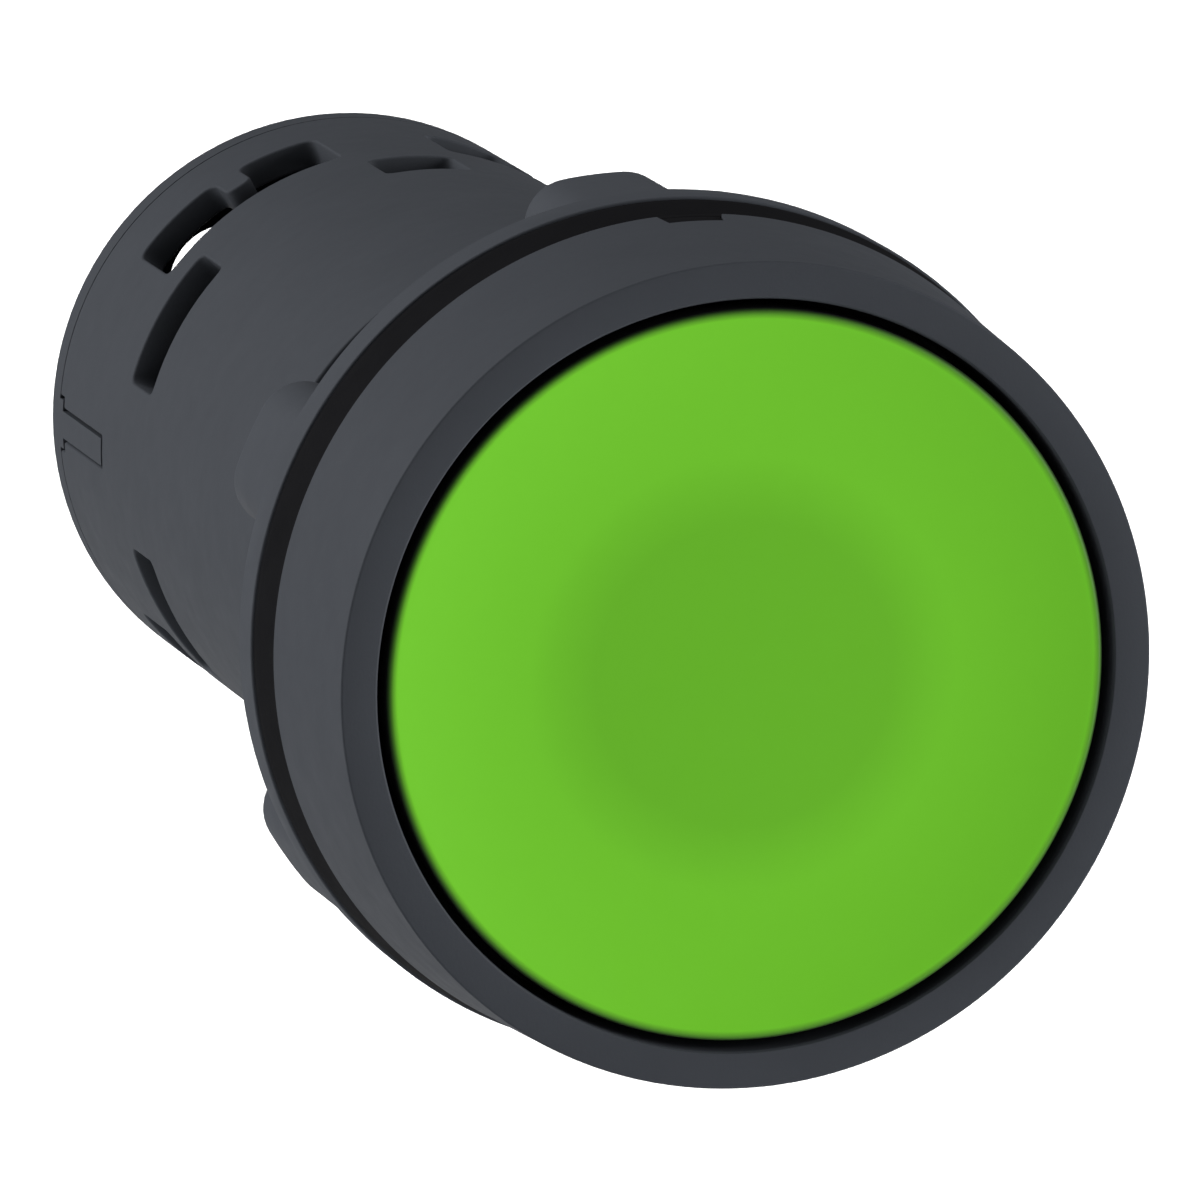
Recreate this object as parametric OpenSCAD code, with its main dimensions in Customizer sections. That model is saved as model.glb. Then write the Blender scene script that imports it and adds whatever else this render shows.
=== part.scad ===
// Flush push button for a 22 mm panel hole, spring return, with one normally open double-break contact.
// Local axis: +z points out of the panel, towards the finger. in_row_frame() turns that to -Y, with +Z up.
// All depths are read from the panel's front surface: in front of it is positive, behind it negative.

/* [Head] */
// Diameter of the bezel where it meets the gasket
head_d = 29; // [28.6:0.1:30]
// Diameter of the bezel's flat front ring
head_front_d = 28.1; // [27:0.1:28.4]
// Height of the bezel's front ring above the panel
head_h = 9.2; // [9:0.1:10.5]
// Diameter of the green cap
cap_d = 24.68; // [23.8:0.02:24.8]
// Radial gap between the cap and the bezel
cap_gap = 0.44; // [0.3:0.02:0.5]
// Depth of the flat middle of the cap's dished face
cap_dish = 0.4; // [0.1:0.05:0.7]
// Full travel of the cap
press_travel = 4.3; // [3.5:0.1:4.4]

/* [Barrel and nut] */
// Outer diameter of the thread on the barrel, for a hole of 22.3 to 22.5 mm
barrel_d = 22.2; // [21.9:0.05:22.3]
// Pitch of the barrel's thread
thread_pitch = 1.5; // [1.2:0.1:1.8]
// Height of one thread ridge
thread_h = 0.35; // [0.2:0.05:0.4]
// Thickness of the panel gasket
gasket_t = 2; // [1.6:0.1:2]
// Outer diameter of the panel gasket's rear edge
gasket_d = 29.3; // [29:0.1:29.4]
// Diameter of the nut's flange
nut_d = 29.5; // [29:0.1:30]
// Length of the nut along the barrel
nut_len = 6; // [5.4:0.1:6.4]
// Number of grip lobes around the nut
nut_lobes = 6; // [4:1:7]

/* [Housing] */
// Outer diameter of the rear housing
body_d = 21.5; // [21.3:0.05:21.7]
// Wall thickness of the housing
wall = 1; // [0.9:0.05:1.05]
// Depth behind the panel at which the housing starts
housing_front = 14.4; // [14:0.1:15]
// Depth behind the panel of the rear cover's outer face
total_depth = 44; // [44:0.1:46]
// Thickness of the rear cover
cover_t = 1; // [0.8:0.1:1]

/* [Contact] */
// Gap between the moving and the fixed contact tips at rest
contact_gap = 2.6; // [2:0.1:2.6]
// Diameter of one contact tip
tip_d = 2.6; // [2:0.1:2.8]
// Diameter of the terminal screws
screw_d = 2.9; // [2.5:0.1:2.9]
// How far a terminal screw backs out to open its clamp
clamp_travel = 3.2; // [2.5:0.1:3.4]

/* [Hidden] */
$fn = 96;

// Clearances: fit between sliding pieces, gap between pieces of one body, and room around free pieces
fit = 0.05;
gap = 0.05;
room = 0.1;
// Overshoot of a cutting tool past the face that it cuts
over = 0.5;

// Head
head_r = head_d / 2;
cap_r = cap_d / 2;
cap_bore_r = cap_r + cap_gap;
bore_bevel = 0.05;
edge_bevel = 0.1;
cap_top = head_h - 0.1;
cap_edge_r = 0.15;
floor_top = gasket_t + 1.4;
cap_under = floor_top + press_travel + room;
notch_rear_half = 1.16;
notch_front_half = 1;
notch_h = 1.1;
notch_r = 13.4;
tab_gap = 0.06;

// Barrel
barrel_r = barrel_d / 2;
root_r = barrel_r - thread_h;
well_r = 9.4;
well_floor = -9;
web_t = 1.4;
skirt_r = 8.6;
pilot_end = -1;
thread_start = pilot_end - 1.2;
body_r = body_d / 2;
inner_r = body_r - wall;
tail_r = inner_r - gap;
tail_len = 4;
relief_w = 2;
seat_r = 10.2;
seat_t = 0.3;
bead_h = 0.3;
bead_w = 0.6;
bead_depth = housing_front + 2.4;

// Plunger
stem_r = 4.5;
guide_r = stem_r + fit;
guide_tube_r = 5.9;
guide_tube_len = 3;
plunger_head_r = 8.8;
plunger_head_low = 4.4;
plunger_head_t = 1.4;
spigot_r = 5;
stem_end = -16;
stem_bore_r = 3.5;
stem_bore_top = -1;

// Seal, its retainer and the return spring
seal_r = 7.2;
seal_t = 1.6;
retainer_r = 8.9;
retainer_t = 0.6;
spring_r = 7;
spring_wire = 0.9;
spring_turns = 6;
spring_low = well_floor + seal_t + retainer_t;

// Nut
nut_bore_r = barrel_r + fit;
nut_flange_t = 1.6;
nut_core_r = 12.3;
lobe_crest_r = nut_d / 2 - 0.02;
lobe_first = 94.8;
lobe_crest_half = 4.2;
lobe_flank_r = 1.6;
lobe_round = 0.6;

// Housing: windows in its wall, by depth behind the panel and by angle from +x
front_row = [31.1, 34];
rear_row = [35.6, 39.7];
neck_row = [35.6, 37.65];
top_window_half = 8.3;
side_window = [135.5, 163.6];
wire_window = [122.6, 142.4];
core_window = [101, 116.9];
latch_depth = 36.8;
latch_half = 2.65;
latch_gap = 0.6;
latch_root_depth = total_depth - cover_t - 0.5;
latch_root_half = 4.8;
stop_ring_r = 9.25;
stop_ring_t = 1.2;

// Rear cover
cover_front = -(total_depth - cover_t);
spigot_ring_r = 9.2;
spigot_ring_len = 0.8;
access_r = 2.2;

// Bridge carrier
carrier_front = stem_end - 0.2;
carrier_rear = -26.4;
carrier_x = 7.4;
carrier_y = 2.6;
pocket_x = [2.6, 6.6];
pocket_front = -19.2;
pocket_rear = -25;
hub_front = -11.5;
pin_end = -33;
peg_r = 0.85;
peg_end = -21.4;

// Contact bridge and its spring
bridge_rear = pocket_rear + 0.02;
bridge_t = 0.7;
bridge_x = [3, 6.2];
bridge_half = 6.5;
tip_x = 4.6;
tip_y = 5;
tip_h = 0.5;
contact_spring_r = 1.35;
contact_spring_wire = 0.4;
contact_spring_turns = 6;

// Terminals: one screw, clamp and strip above the axis, and the same below
screw_x = 4.4;
screw_y = 4.8;
strip_t = 0.8;
strip_x0 = 1;
arm_front = bridge_rear - 2 * tip_h - contact_gap - 0.02;
arm_x1 = 6.1;
arm_y0 = 3.4;
arm_y1 = 6.6;
plate_rear = -36;
plate_x1 = 6.5;
plate_y0 = 2.12;
plate_y1 = 6.92;
screw_r = screw_d / 2;
thread_hole_r = screw_r + fit;
wire_gap = clamp_travel + 0.4;
washer_front = plate_rear - wire_gap;
washer_half = 2.1;
washer_t = 0.9;
head_low = washer_front - washer_t - gap;
screw_head_r = 2.5;
screw_head_h = 1.9;
screw_tip = -34.4;
screw_pitch = 0.5;
screw_thread_h = 0.2;

// Contact block: deck, waist, rear flange and the cross-shaped barrier between the wire bays
deck_front = arm_front - strip_t;
deck_t = 1.4;
flange_front = -34.2;
flange_rear = plate_rear + strip_t;
block_r = inner_r - room;
waist_r = 8.8;
barrier_rear = cover_front + room;
barrier_r = 9.1;
barrier_x = 0.6;
barrier_y = 0.8;
boss_r = 2.2;
boss_rear = -38.9;
pin_r = 1.3;
pin_bore_rear = -38.2;
tip_well_r = 1.6;
tip_well_front = -30.4;

// Colours
dark_plastic = [0.26, 0.28, 0.31];
black_plastic = [0.09, 0.09, 0.1];
rubber_black = [0.05, 0.05, 0.05];
cap_green = [0.42, 0.76, 0.18];
spring_steel = [0.7, 0.71, 0.73];
brass = [0.8, 0.65, 0.32];
silver = [0.85, 0.85, 0.83];
zinc = [0.75, 0.76, 0.74];

// Stands the local +z axis along -Y, so that the button faces the viewer and +Z is up
module in_row_frame() {
    rotate([90, 0, 0]) children();
}

// Tube between two depths
module tube(r_out, r_in, low, high) {
    translate([0, 0, low]) difference() {
        cylinder(r = r_out, h = high - low);
        translate([0, 0, -over]) cylinder(r = r_in, h = high - low + 2 * over);
    }
}

// Solid cylinder between two depths
module rod(r, low, high) {
    translate([0, 0, low]) cylinder(r = r, h = high - low);
}

// Block between two corners
module block(corner_a, corner_b) {
    translate(corner_a) cube(corner_b - corner_a);
}

// Sector of a disc from one angle to another, between two depths
module sector(angle_a, angle_b, low, high, reach = 2 * body_d) {
    mid = (angle_a + angle_b) / 2;
    translate([0, 0, low]) linear_extrude(high - low) polygon([
        [0, 0],
        reach * [cos(angle_a), sin(angle_a)],
        reach * [cos(mid), sin(mid)],
        reach * [cos(angle_b), sin(angle_b)]
    ]);
}

// Repeats a shape in all four quadrants
module four_ways() {
    for (flip_x = [0, 1], flip_y = [0, 1])
        mirror([flip_x, 0, 0]) mirror([0, flip_y, 0]) children();
}

// Height of a closed-end spring's wire centre after a number of turns
function coil_height(turn, turns, wire, length) =
    let (closed = 1.06 * wire)
    turn <= 1 ? wire / 2 + closed * turn
    : turn >= turns - 1 ? length - wire / 2 - closed * (turns - turn)
    : wire / 2 + closed + (turn - 1) * (length - wire - 2 * closed) / (turns - 2);

// Compression spring with closed ends, standing on z = low
module coil_spring(r, wire, turns, low, high, steps = 18, sides = 6) {
    count = turns * steps;
    points = [for (i = [0 : count], j = [0 : sides - 1])
        let (turn = i / steps, swirl = 360 * turn, around = 360 * j / sides + 180 / sides,
             radius = r + wire / 2 * cos(around))
        [radius * cos(swirl), radius * sin(swirl),
         low + coil_height(turn, turns, wire, high - low) + wire / 2 * sin(around)]];
    sides_faces = [for (i = [0 : count - 1], j = [0 : sides - 1])
        let (k = (j + 1) % sides)
        [i * sides + j, (i + 1) * sides + j, (i + 1) * sides + k, i * sides + k]];
    start_face = [for (j = [0 : sides - 1]) j];
    end_face = [for (j = [sides - 1 : -1 : 0]) count * sides + j];
    polyhedron(points, concat(sides_faces, [start_face], [end_face]));
}

// ---- Head and barrel ----

// One ridge of the barrel's thread, with its crest at a depth
module thread_ridge(crest) {
    half_crest = 0.15;
    rotate_extrude() polygon([
        [root_r - 0.2, crest - half_crest - thread_h],
        [root_r, crest - half_crest - thread_h],
        [barrel_r, crest - half_crest],
        [barrel_r, crest + half_crest],
        [root_r, crest + half_crest + thread_h],
        [root_r - 0.2, crest + half_crest + thread_h]
    ]);
}

// The notch at 12 o'clock in the bezel's rear edge, or the gasket's tab in it, which is smaller by a gap
module notch_block(gap_round, low) {
    high = gasket_t + notch_h - gap_round;
    translate([0, head_r + 1, 0]) rotate([90, 0, 0])
        linear_extrude(head_r + 1 - notch_r - gap_round) polygon([
            [gap_round - notch_rear_half, low],
            [notch_rear_half - gap_round, low],
            [notch_front_half - gap_round, high],
            [gap_round - notch_front_half, high]
        ]);
}

module bezel_barrel() {
    web_rear = well_floor - web_t;
    tail_end = -(housing_front + tail_len);
    color(dark_plastic) in_row_frame() difference() {
        union() {
            rotate_extrude() polygon([
                [cap_bore_r + bore_bevel, head_h],
                [head_front_d / 2 - edge_bevel, head_h],
                [head_front_d / 2, head_h - edge_bevel],
                [head_r, gasket_t],
                [barrel_r, gasket_t],
                [barrel_r, pilot_end],
                [root_r, pilot_end - thread_h],
                [root_r, relief_w - housing_front],
                [tail_r, relief_w - housing_front],
                [tail_r, seat_t - housing_front],
                [seat_r, seat_t - housing_front],
                [seat_r, -housing_front],
                [tail_r, -housing_front],
                [tail_r, tail_end + 0.4],
                [tail_r - 0.4, tail_end],
                [skirt_r, tail_end],
                [skirt_r, web_rear],
                [guide_tube_r, web_rear],
                [guide_tube_r, web_rear - guide_tube_len],
                [guide_r, web_rear - guide_tube_len],
                [guide_r, well_floor],
                [well_r, well_floor],
                [well_r, floor_top],
                [cap_bore_r, floor_top],
                [cap_bore_r, head_h - bore_bevel]
            ]);
            for (crest = [thread_start : -thread_pitch : relief_w - housing_front + 0.6]) thread_ridge(crest);
            tube(tail_r + bead_h, tail_r - 0.3, -bead_depth - bead_w, -bead_depth);
        }
        notch_block(0, gasket_t - over);
    }
}

module push_cap() {
    dish_steps = 10;
    flat_share = 0.54;
    ring_low = plunger_head_low + plunger_head_t + room;
    face = [for (i = [0 : dish_steps])
        let (rise = i / dish_steps, out = flat_share + (1 - flat_share) * rise)
        [out * (cap_r - cap_edge_r), cap_top - cap_dish * (1 - rise * rise)]];
    color(cap_green) in_row_frame() union() {
        rotate_extrude() polygon(concat(
            [[0, cap_under], [0, cap_top - cap_dish]],
            face,
            [[cap_r, cap_top - cap_edge_r], [cap_r, cap_under]]
        ));
        tube(spigot_r + 1.5, spigot_r + gap, ring_low, cap_under + 0.1);
    }
}

module plunger() {
    head_high = plunger_head_low + plunger_head_t;
    color(black_plastic) in_row_frame() difference() {
        union() {
            rod(stem_r, stem_end, plunger_head_low + 0.1);
            rod(plunger_head_r, plunger_head_low, head_high);
            rod(spigot_r, head_high - 0.1, cap_under - gap);
        }
        rod(stem_bore_r, stem_end - over, stem_bore_top);
    }
}

module return_spring() {
    color(spring_steel) in_row_frame() coil_spring(
        spring_r, spring_wire, spring_turns, spring_low + 0.01, plunger_head_low - 0.01
    );
}

module stem_seal() {
    low = well_floor;
    high = well_floor + seal_t;
    color(rubber_black) in_row_frame() rotate_extrude() polygon([
        [guide_r, low],
        [seal_r, low],
        [seal_r, high],
        [stem_r + 0.7, high],
        [stem_r + 0.02, high - 0.25],
        [stem_r + 0.02, high - 0.45],
        [stem_r + 0.45, low + 0.5],
        [guide_r, low + 0.3]
    ]);
}

module seal_retainer() {
    color(zinc) in_row_frame()
        tube(retainer_r, stem_r + 0.25, well_floor + seal_t, well_floor + seal_t + retainer_t);
}

module panel_gasket() {
    front_r = head_r - room;
    lip_t = 0.3;
    tab_r = front_r - 0.02;
    tab_low = gasket_t - lip_t / 2;
    taper = (head_r - head_front_d / 2) / (head_h - gasket_t);
    color(rubber_black) in_row_frame() {
        rotate_extrude() polygon([
            [barrel_r + fit, 0],
            [gasket_d / 2, 0],
            [gasket_d / 2, lip_t],
            [front_r, gasket_t - lip_t],
            [front_r, gasket_t],
            [barrel_r + fit, gasket_t]
        ]);
        intersection() {
            rotate_extrude() polygon([
                [notch_r, tab_low],
                [tab_r, tab_low],
                [tab_r, gasket_t],
                [tab_r - taper * notch_h, gasket_t + notch_h],
                [notch_r, gasket_t + notch_h]
            ]);
            notch_block(tab_gap, tab_low);
        }
    }
}

module fixing_nut() {
    color(dark_plastic) in_row_frame() difference() {
        union() {
            rod(nut_d / 2, -nut_flange_t, 0);
            rod(nut_core_r, -nut_len, -nut_flange_t + 0.1);
            // Grip lobes as wide as the flange, with round flanks and a rounded rear edge
            intersection() {
                rotate_extrude() polygon(concat(
                    [[nut_bore_r - 0.2, -nut_flange_t + 0.1], [lobe_crest_r, -nut_flange_t + 0.1]],
                    [for (turn = [0 : 15 : 90])
                        [lobe_crest_r - lobe_round * (1 - cos(turn)),
                         -nut_len + lobe_round * (1 - sin(turn))]],
                    [[nut_bore_r - 0.2, -nut_len]]
                ));
                for (k = [0 : nut_lobes - 1]) rotate([0, 0, lobe_first + k * 360 / nut_lobes]) {
                    sector(-lobe_crest_half, lobe_crest_half, -nut_len - 1, 0);
                    for (side = [-1, 1]) rotate([0, 0, side * lobe_crest_half])
                        translate([lobe_crest_r - lobe_flank_r, 0, 0]) rod(lobe_flank_r, -nut_len - 1, 0);
                }
            }
        }
        rod(nut_bore_r, -nut_len - over, over);
    }
}

// ---- Housing and rear cover ----

module housing() {
    rear = cover_front;
    color(dark_plastic) in_row_frame() difference() {
        union() {
            tube(body_r, inner_r, rear, -housing_front);
            tube(inner_r + 0.1, stop_ring_r, deck_front, deck_front + stop_ring_t);
        }
        // Groove that the barrel's snap bead holds in
        tube(tail_r + bead_h + gap, inner_r - 0.4, -bead_depth - bead_w - gap, -bead_depth + gap);
        // Windows at 12 and 6 o'clock
        for (mid = [90, 270])
            sector(mid - top_window_half, mid + top_window_half, -front_row[1], -front_row[0]);
        four_ways() {
            sector(side_window[0], side_window[1], -front_row[1], -front_row[0]);
            sector(wire_window[0], wire_window[1], -rear_row[1], -rear_row[0]);
            sector(core_window[0], core_window[1], -rear_row[1], -rear_row[0]);
            sector(core_window[1] - 1, wire_window[0] + 1, -neck_row[1], -neck_row[0]);
        }
        // Latch windows at 3 and 9 o'clock, open to the rear
        for (mid = [0, 180]) {
            latch_slot(mid, latch_half + latch_gap, latch_depth - 0.12, latch_root_depth);
            latch_slot(mid, latch_root_half + latch_gap, latch_root_depth - 0.12, total_depth);
        }
    }
}

module latch_slot(mid, half, near, far) {
    sector(mid - half, mid + half, -far, -near);
}

module rear_cover() {
    color(dark_plastic) in_row_frame() difference() {
        union() {
            rod(body_r, -total_depth, cover_front);
            tube(inner_r - room, spigot_ring_r, cover_front - 0.1, cover_front + spigot_ring_len);
            // Snap tongues that fill the housing's latch windows
            intersection() {
                tube(body_r, inner_r - room, cover_front - 0.1, -latch_depth);
                for (mid = [0, 180]) {
                    latch_slot(mid, latch_half, latch_depth - over, total_depth);
                    latch_slot(mid, latch_root_half, latch_root_depth, total_depth);
                }
            }
        }
        // Screwdriver holes, the right pair behind the terminal screws
        four_ways() translate([screw_x, screw_y, 0])
            rod(access_r, -total_depth - over, cover_front + over);
    }
}

// ---- Contact block and terminals ----

module contact_block() {
    well_y = carrier_y + 0.3;
    well_x = carrier_x + 0.2;
    well_rear = carrier_rear - press_travel - 0.7;
    leg_gap = 0.1;
    color(black_plastic) in_row_frame() difference() {
        union() {
            rod(block_r, deck_front - deck_t, deck_front);
            rod(waist_r, flange_front - 0.1, deck_front - deck_t + 0.1);
            rod(block_r, flange_rear, flange_front);
            intersection() {
                rod(barrier_r, barrier_rear, flange_rear + 0.1);
                union() {
                    block([-barrier_x, -body_r, barrier_rear], [barrier_x, body_r, flange_rear + 0.1]);
                    block([-body_r, -barrier_y, barrier_rear], [body_r, barrier_y, flange_rear + 0.1]);
                }
            }
            rod(boss_r, boss_rear, flange_rear + 0.1);
        }
        // Well that the bridge carrier sinks into, and the bore that guides its pin
        block([-well_x, -well_y, well_rear], [well_x, well_y, deck_front + over]);
        rod(pin_r + fit, pin_bore_rear, deck_front);
        for (side = [-1, 1]) {
            // Slot for the terminal's leg and well for the end of its screw
            mirror([0, side < 0 ? 1 : 0, 0]) {
                block([strip_x0 - leg_gap, arm_y0 - leg_gap, flange_rear - over],
                      [strip_x0 + strip_t + leg_gap, arm_y1 + leg_gap, deck_front + over]);
                translate([screw_x, screw_y, 0]) rod(tip_well_r, flange_rear - over, tip_well_front);
            }
        }
    }
}

// Brass strip bent into a U: contact arm in front, leg beside the axis, threaded clamp plate behind
module terminal_strip() {
    difference() {
        union() {
            block([strip_x0, arm_y0, arm_front - strip_t], [arm_x1, arm_y1, arm_front]);
            block([strip_x0, arm_y0, plate_rear], [strip_x0 + strip_t, arm_y1, arm_front]);
            block([strip_x0, plate_y0, plate_rear], [plate_x1, plate_y1, plate_rear + strip_t]);
        }
        translate([screw_x, screw_y, 0])
            rod(thread_hole_r, plate_rear - over, plate_rear + strip_t + over);
    }
}

module terminal_upper() {
    color(brass) in_row_frame() terminal_strip();
}

module terminal_lower() {
    color(brass) in_row_frame() mirror([0, 1, 0]) terminal_strip();
}

// Contact tip: a short rivet head with a slightly domed edge
module contact_tip(base, toward) {
    dome = 0.12;
    translate([tip_x, 0, base]) mirror([0, 0, toward < 0 ? 1 : 0]) rotate_extrude() polygon([
        [0, 0],
        [tip_d / 2, 0],
        [tip_d / 2, tip_h - dome],
        [tip_d / 2 - 2 * dome, tip_h],
        [0, tip_h]
    ]);
}

module fixed_tips() {
    color(silver) in_row_frame()
        for (side = [-1, 1]) translate([0, side * tip_y, 0]) contact_tip(arm_front, 1);
}

// Square clamp plate with turned-up edges that keep the strands under the screw
module clamp_washer() {
    lip = 0.5;
    lip_h = 0.4;
    low = washer_front - washer_t;
    translate([screw_x, screw_y, 0]) difference() {
        union() {
            block([-washer_half, -washer_half, low], [washer_half, washer_half, washer_front - lip_h]);
            for (side = [0, 1]) mirror([side, 0, 0])
                block([washer_half - lip, -washer_half, low], [washer_half, washer_half, washer_front]);
        }
        rod(screw_r + room, low - over, washer_front + over);
    }
}

module clamp_washer_upper() {
    color(zinc) in_row_frame() clamp_washer();
}

module clamp_washer_lower() {
    color(zinc) in_row_frame() mirror([0, 1, 0]) clamp_washer();
}

// Pan-head screw with a cross recess, its head to the rear
module terminal_screw() {
    recess_w = 0.7;
    recess_l = 2.9;
    recess_h = 1.2;
    root = screw_r - screw_thread_h;
    head_rear = head_low - screw_head_h;
    translate([screw_x, screw_y, 0]) difference() {
        union() {
            rod(root, head_low - 0.1, screw_tip);
            for (z = [head_low + 0.6 : screw_pitch : screw_tip - 0.4]) rotate_extrude() polygon([
                [root - 0.2, z - 0.2],
                [root, z - 0.2],
                [screw_r, z - 0.04],
                [screw_r, z + 0.04],
                [root, z + 0.2],
                [root - 0.2, z + 0.2]
            ]);
            rotate_extrude() polygon([
                [0, head_low],
                [screw_head_r, head_low],
                [screw_head_r, head_low - 1.1],
                [screw_head_r - 0.25, head_rear + 0.3],
                [screw_head_r - 0.9, head_rear],
                [0, head_rear]
            ]);
        }
        for (turn = [0, 90]) rotate([0, 0, 45 + turn])
            block([-recess_l / 2, -recess_w / 2, head_rear - over],
                  [recess_l / 2, recess_w / 2, head_rear + recess_h]);
    }
}

module terminal_screw_upper() {
    color(zinc) in_row_frame() terminal_screw();
}

module terminal_screw_lower() {
    color(zinc) in_row_frame() mirror([0, 1, 0]) terminal_screw();
}

// ---- Moving contact ----

module bridge_carrier() {
    color(dark_plastic) in_row_frame() difference() {
        union() {
            block([-carrier_x, -carrier_y, carrier_rear], [carrier_x, carrier_y, carrier_front]);
            rod(stem_bore_r - gap, carrier_front - 0.1, hub_front);
            rod(pin_r, pin_end, carrier_rear + 0.1);
        }
        // A pocket for a contact on each side of the axis; only the right one is used
        for (side = [0, 1]) mirror([side, 0, 0]) difference() {
            block([pocket_x[0], -carrier_y - over, pocket_rear],
                  [pocket_x[1], carrier_y + over, pocket_front]);
            translate([tip_x, 0, 0]) rod(peg_r, peg_end, pocket_front + over);
        }
        // Hollow in the hub, so that it springs into the plunger
        rod(1.9, -15, hub_front + over);
    }
}

module contact_bridge() {
    corner = 0.9;
    high = bridge_rear + bridge_t;
    rib_h = 0.25;
    rib_half = 1.9;
    color(brass) in_row_frame() union() {
        intersection() {
            block([bridge_x[0], -bridge_half, bridge_rear], [bridge_x[1], bridge_half, high]);
            union() {
                block([bridge_x[0], corner - bridge_half, bridge_rear],
                      [bridge_x[1], bridge_half - corner, high]);
                for (x = [bridge_x[0] + corner, bridge_x[1] - corner], side = [-1, 1])
                    translate([x, side * (bridge_half - corner), 0]) rod(corner, bridge_rear, high);
                block([bridge_x[0] + corner, -bridge_half, bridge_rear],
                      [bridge_x[1] - corner, bridge_half, high]);
            }
        }
        // Stiffening bosses just outside the carrier
        for (side = [-1, 1]) translate([tip_x, side * 3.9, 0]) difference() {
            rod(0.8, high - 0.1, high + rib_h);
            rod(0.4, high, high + 2 * rib_h);
        }
    }
}

module bridge_tips() {
    color(silver) in_row_frame()
        for (side = [-1, 1]) translate([0, side * tip_y, 0]) contact_tip(bridge_rear, -1);
}

module contact_spring() {
    color(spring_steel) in_row_frame() translate([tip_x, 0, 0]) coil_spring(
        contact_spring_r, contact_spring_wire, contact_spring_turns,
        bridge_rear + bridge_t + 0.01, pocket_front - 0.01
    );
}

bezel_barrel();
push_cap();
plunger();
return_spring();
stem_seal();
seal_retainer();
panel_gasket();
fixing_nut();
housing();
rear_cover();
contact_block();
bridge_carrier();
contact_bridge();
bridge_tips();
contact_spring();
terminal_upper();
terminal_lower();
fixed_tips();
clamp_washer_upper();
clamp_washer_lower();
terminal_screw_upper();
terminal_screw_lower();
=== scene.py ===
"""Looks of a flush panel push button: dark head, green cap, gasket, lobed nut and slotted housing."""
import math

import bmesh
import bpy
from mathutils import Matrix, Vector, geometry


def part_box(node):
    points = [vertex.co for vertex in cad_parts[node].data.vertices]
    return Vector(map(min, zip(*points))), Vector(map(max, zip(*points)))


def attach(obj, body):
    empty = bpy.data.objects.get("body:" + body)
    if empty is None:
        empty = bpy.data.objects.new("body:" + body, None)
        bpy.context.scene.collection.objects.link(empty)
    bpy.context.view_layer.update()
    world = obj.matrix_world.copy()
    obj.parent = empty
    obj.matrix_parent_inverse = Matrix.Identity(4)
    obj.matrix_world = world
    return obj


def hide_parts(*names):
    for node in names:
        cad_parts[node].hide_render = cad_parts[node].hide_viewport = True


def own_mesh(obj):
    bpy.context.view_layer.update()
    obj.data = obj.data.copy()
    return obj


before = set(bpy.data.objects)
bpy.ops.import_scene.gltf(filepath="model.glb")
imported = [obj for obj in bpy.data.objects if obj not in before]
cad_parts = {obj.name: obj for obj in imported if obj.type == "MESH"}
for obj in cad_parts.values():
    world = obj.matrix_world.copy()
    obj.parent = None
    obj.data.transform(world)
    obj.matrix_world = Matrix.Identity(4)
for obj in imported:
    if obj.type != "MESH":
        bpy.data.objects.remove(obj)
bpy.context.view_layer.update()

MM = 0.001
SHARP = 35  # degrees between two faces, above which the edge between them stays crisp


# ---- The CAD model's sizes, in millimetres. "ahead" is the distance in front of the panel, along -Y. ----

def size_of(node):
    """Radius about the button's axis, and how far ahead of the panel a CAD node starts and ends, in mm."""
    low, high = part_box(node)
    return max(high.x, -low.x) / MM, -high.y / MM, -low.y / MM


head_r, barrel_rear, head_front = size_of("bezel_barrel")
cap_r, cap_rear, cap_front = size_of("push_cap")
gasket_r, _, tab_front = size_of("panel_gasket")
nut_r, nut_rear, _ = size_of("fixing_nut")
housing_r, housing_rear, housing_front = size_of("housing")
spring_outer_r, spring_rear, spring_front = size_of("return_spring")

# The notch in the bezel's rear edge and the gasket's tab in it: the tab is what reaches furthest ahead
NOTCH_H, NOTCH_FLOOR_R = 1.1, 13.4
NOTCH_REAR_HALF, NOTCH_FRONT_HALF = 1.16, 1.0
TAB_GAP = 0.06
gasket_front = tab_front - (NOTCH_H - TAB_GAP)
RING_R = 14.05  # outer radius of the bezel's flat front ring


def at(radius, degrees, ahead):
    """Point in metres: 0 degrees is to the right seen from the front, 90 is up."""
    turn = math.radians(degrees)
    return Vector((radius * math.cos(turn), -ahead, radius * math.sin(turn))) * MM


# ---- Mesh tools ----

def mark_sharp(bm, sharp):
    """Keeps an edge crisp where its two faces meet at more than an angle in degrees."""
    for edge in bm.edges:
        edge.smooth = not (len(edge.link_faces) == 2 and edge.calc_face_angle() > math.radians(sharp))


def finish_mesh(name, bm, body, material, nodes, sharp=SHARP):
    """Turns a bmesh into a smooth piece that rides on its body and replaces CAD nodes."""
    bmesh.ops.recalc_face_normals(bm, faces=bm.faces)
    for face in bm.faces:
        face.smooth = True
    mark_sharp(bm, sharp)
    mesh = bpy.data.meshes.new(name)
    bm.to_mesh(mesh)
    bm.free()
    piece = bpy.data.objects.new(name, mesh)
    bpy.context.scene.collection.objects.link(piece)
    mesh.materials.append(material)
    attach(piece, body)
    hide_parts(*nodes)
    return piece


def even_shading(piece):
    """Keeps wide faces evenly lit beside small rounded edges."""
    shading = piece.modifiers.new("shading", "WEIGHTED_NORMAL")
    shading.keep_sharp = True


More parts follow.
